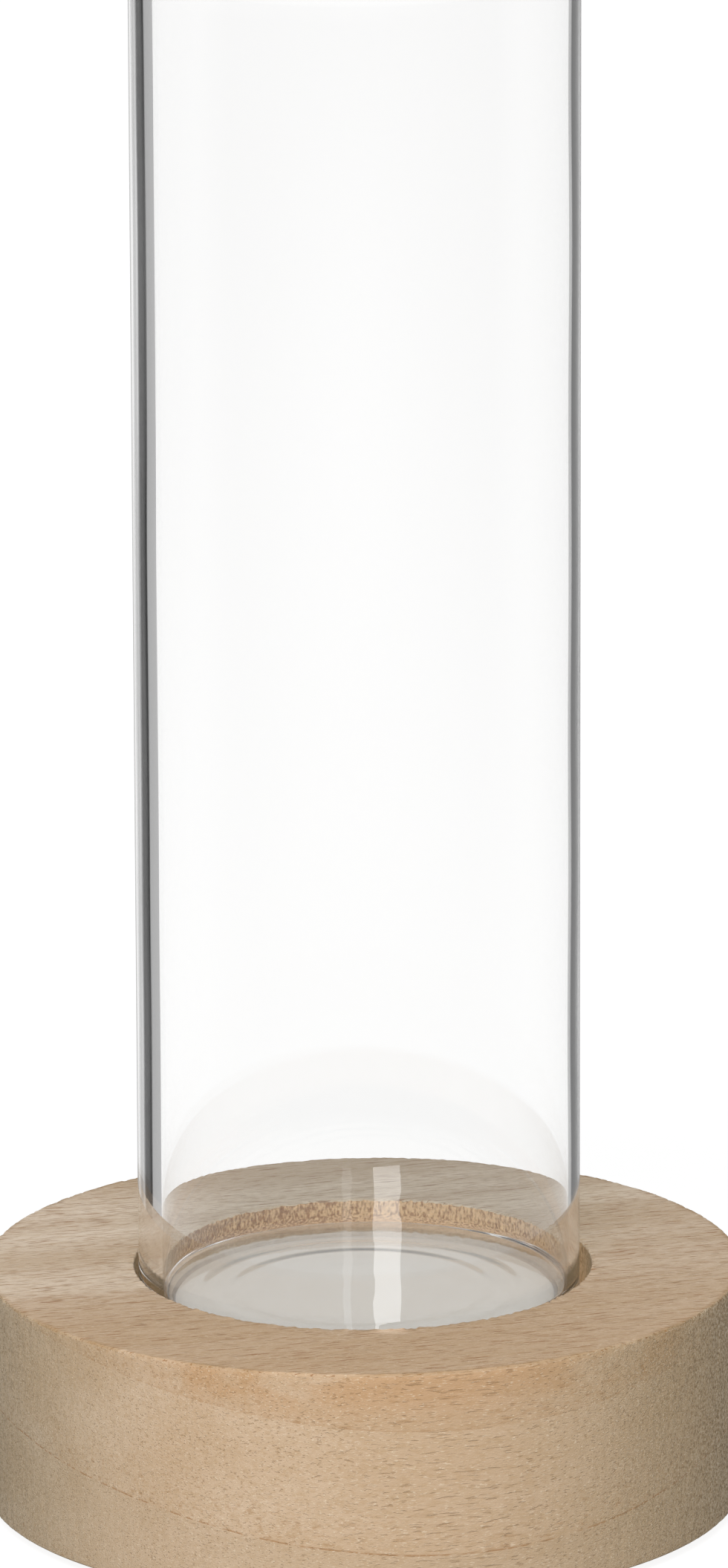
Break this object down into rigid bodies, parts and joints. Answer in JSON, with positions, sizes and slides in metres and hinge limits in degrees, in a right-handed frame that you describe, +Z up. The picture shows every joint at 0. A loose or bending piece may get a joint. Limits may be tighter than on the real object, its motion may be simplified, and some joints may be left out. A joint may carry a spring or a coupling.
{
  "type": "led vase",
  "caption": "Clear glass cylinder vase standing in a turned wooden base over a milky lamp window, with a battery LED module, hinged door and slide switch beneath.",
  "frame": {"origin": "centre of the footprint, on the table", "axes": "+Z up along the glass; X along the battery cells; the switch is on the -Y side below"},
  "size_m": [0.12, 0.12, 0.2488],
  "materials": {
    "wood": "bare turned paulownia, matt",
    "glass": "clear, polished",
    "window": "milky acrylic, satin",
    "abs": "white moulded, fine matt",
    "laminate": "white solder mask",
    "led": "yellow phosphor in a white package",
    "ceramic": "black chip",
    "nickel": "nickel plate",
    "cell": "plain dark jacket",
    "zinc": "zinc plate",
    "foam": "dark foam, matt",
    "can": "tinned can",
    "nylon": "black moulded",
    "red_pvc": "lead insulation",
    "black_pvc": "lead insulation",
    "white_pvc": "lead insulation"
  },
  "bodies": {
    "base": {"wood_base": "wood", "lamp_window": "window", "battery_shell": "abs", "bottom_plate": "abs", "led_board": "laminate", "led_1": "led", "led_2": "led", "led_3": "led", "led_4": "led", "led_5": "led", "led_6": "led", "resistor_1": "ceramic", "resistor_2": "ceramic", "resistor_3": "ceramic", "resistor_4": "ceramic", "resistor_5": "ceramic", "resistor_6": "ceramic", "contact_positive": "nickel", "contact_negative": "nickel", "contact_bridge_left": "nickel", "contact_bridge_right": "nickel", "contact_spring_1": "nickel", "contact_spring_2": "nickel", "contact_spring_3": "nickel", "battery_1": "cell", "battery_2": "cell", "battery_3": "cell", "board_screw_1": "zinc", "board_screw_2": "zinc", "module_screw_1": "zinc", "module_screw_2": "zinc", "module_screw_3": "zinc", "module_screw_4": "zinc", "foot_pad_1": "foam", "foot_pad_2": "foam", "foot_pad_3": "foam", "foot_pad_4": "foam", "switch_body": "can", "lead_positive": "red_pvc", "lead_negative": "black_pvc", "lead_switched": "white_pvc"},
    "vase": {"glass_vase": "glass"},
    "door": {"battery_door": "abs"},
    "knob": {"switch_knob": "nylon"}
  },
  "joints": [
    {"name": "vase_lift", "type": "slide", "parent": "base", "child": "vase", "axis": [0, 0, 1], "range_m": [0, 0.04]},
    {"name": "door_hinge", "type": "hinge", "parent": "base", "child": "door", "pos_m": [0, -0.01505, 0.0042], "axis": [-1, 0, 0], "range_deg": [0, 75]},
    {"name": "knob_slide", "type": "slide", "parent": "base", "child": "knob", "axis": [1, 0, 0], "range_m": [0, 0.0025]}
  ]
}
